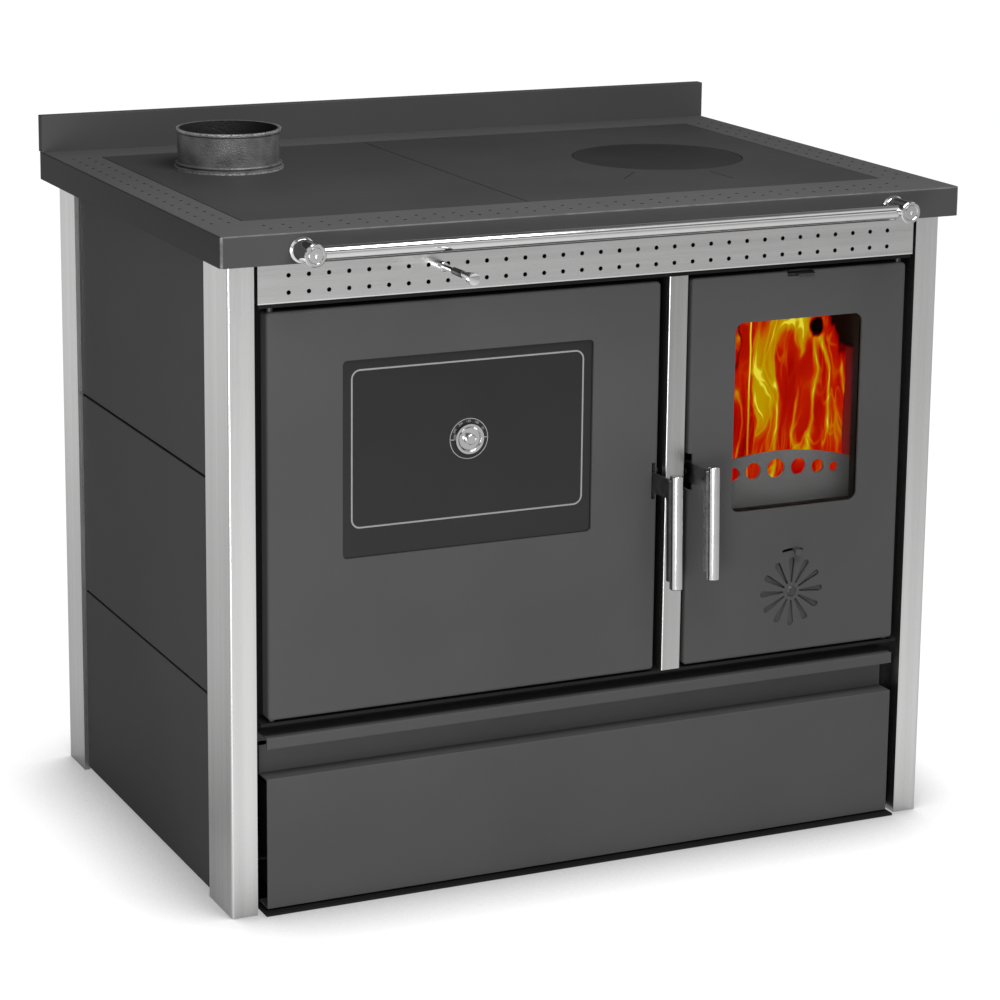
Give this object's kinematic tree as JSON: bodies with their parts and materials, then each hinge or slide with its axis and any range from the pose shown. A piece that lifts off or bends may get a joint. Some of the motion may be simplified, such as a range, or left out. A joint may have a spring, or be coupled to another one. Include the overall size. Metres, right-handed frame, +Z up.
{
  "type": "wood cookstove",
  "caption": "Wood-burning cookstove: oven door with glass on the left, fire door with air rosette on the right, flat hob with lift-out lid, flue collar, towel rail and a wood drawer.",
  "frame": {"origin": "on the floor, under the middle of the worktop (mid-width and mid-depth)", "axes": "+X to the right seen from the front, +Y to the back, +Z up; the doors face -Y"},
  "size_m": [1.02, 0.804, 0.913],
  "materials": {
    "stainless": "brushed stainless steel sheet",
    "grey_enamel": "fine-textured satin dark grey stove enamel",
    "black_sheet": "matte black heat-resistant paint on sheet steel",
    "hob_iron": "ground and blackened hob plate",
    "cast_iron": "fine-grained black cast iron",
    "chrome": "polished chrome",
    "black_steel": "blackened steel",
    "zinc_steel": "zinc-plated steel",
    "glass": "clear ceramic glass",
    "rope_seal": "woven glass-fibre rope",
    "fire_brick": "rough fire brick"
  },
  "bodies": {
    "stove": {"base_plate": "black_sheet", "side_walls": "black_sheet", "back_panel": "black_sheet", "front_frame": "black_sheet", "compartment_floor": "black_sheet", "front_posts": "stainless", "rear_posts": "stainless", "side_panels_left": "grey_enamel", "side_panels_right": "grey_enamel", "divider": "stainless", "hinge_rails": "black_sheet", "hinge_pins": "zinc_steel", "sill_lip": "grey_enamel", "vent_strip": "stainless", "hob_support": "black_sheet", "worktop": "grey_enamel", "upstand": "grey_enamel", "hob_plate_left": "hob_iron", "hob_plate_right": "hob_iron", "flue_collar": "cast_iron", "rail_knobs": "chrome", "towel_rail": "chrome", "oven_box": "black_sheet", "oven_rack": "chrome", "smoke_shelf": "black_sheet", "firebox_shell": "black_sheet", "fire_bricks": "fire_brick", "grate": "cast_iron", "log_guard": "grey_enamel", "ash_pan": "black_sheet", "latch_keepers": "zinc_steel", "drawer_runners": "zinc_steel", "damper_bush": "chrome"},
    "oven_door": {"oven_door_panel": "grey_enamel", "oven_glass": "glass", "oven_door_liner": "black_sheet", "oven_gasket": "rope_seal", "thermometer_bezel": "chrome", "oven_latch_bracket": "black_steel"},
    "thermometer": {"thermometer_pointer": "chrome"},
    "oven_latch": {"oven_latch_lever": "black_steel", "oven_grip": "chrome"},
    "fire_door": {"fire_door_panel": "grey_enamel", "fire_glass": "glass", "fire_door_liner": "black_sheet", "fire_gasket": "rope_seal", "fire_latch_bracket": "black_steel", "rosette_rivet": "black_steel"},
    "fire_latch": {"fire_latch_lever": "zinc_steel", "fire_grip": "chrome"},
    "air_rosette": {"air_rosette": "grey_enamel"},
    "top_air_slide": {"top_air_slide": "zinc_steel"},
    "drawer": {"drawer_front": "grey_enamel", "drawer_tray": "black_sheet"},
    "damper": {"damper_rod": "chrome", "damper_slide": "black_sheet", "damper_sleeve": "black_steel", "damper_knob": "chrome"},
    "hob_lid": {"hob_lid": "hob_iron"}
  },
  "joints": [
    {"name": "oven_door_hinge", "type": "hinge", "parent": "stove", "child": "oven_door", "pos_m": [-0.437, -0.328, 0.505], "axis": [0, 0, -1], "range_deg": [0, 110]},
    {"name": "fire_door_hinge", "type": "hinge", "parent": "stove", "child": "fire_door", "pos_m": [0.4395, -0.328, 0.505], "axis": [0, 0, 1], "range_deg": [0, 110]},
    {"name": "oven_latch_pivot", "type": "hinge", "parent": "oven_door", "child": "oven_latch", "pos_m": [0.0808, -0.326, 0.5], "axis": [-1, 0, 0], "range_deg": [0, 35]},
    {"name": "fire_latch_pivot", "type": "hinge", "parent": "fire_door", "child": "fire_latch", "pos_m": [0.134, -0.326, 0.507], "axis": [-1, 0, 0], "range_deg": [0, 35]},
    {"name": "thermometer_turn", "type": "hinge", "parent": "oven_door", "child": "thermometer", "pos_m": [-0.177, -0.336, 0.5815], "axis": [0, -1, 0], "range_deg": [-270, 0]},
    {"name": "air_rosette_turn", "type": "hinge", "parent": "fire_door", "child": "air_rosette", "pos_m": [0.289, -0.334, 0.332], "axis": [0, -1, 0], "range_deg": [0, 10]},
    {"name": "top_air_slide_travel", "type": "slide", "parent": "fire_door", "child": "top_air_slide", "axis": [-1, 0, 0], "range_m": [0, 0.014]},
    {"name": "drawer_travel", "type": "slide", "parent": "stove", "child": "drawer", "axis": [0, -1, 0], "range_m": [0, 0.4]},
    {"name": "damper_travel", "type": "slide", "parent": "stove", "child": "damper", "axis": [0, -1, 0], "range_m": [0, 0.06]},
    {"name": "hob_lid_lift", "type": "slide", "parent": "stove", "child": "hob_lid", "axis": [0, 0, 1], "range_m": [0, 0.06]}
  ]
}
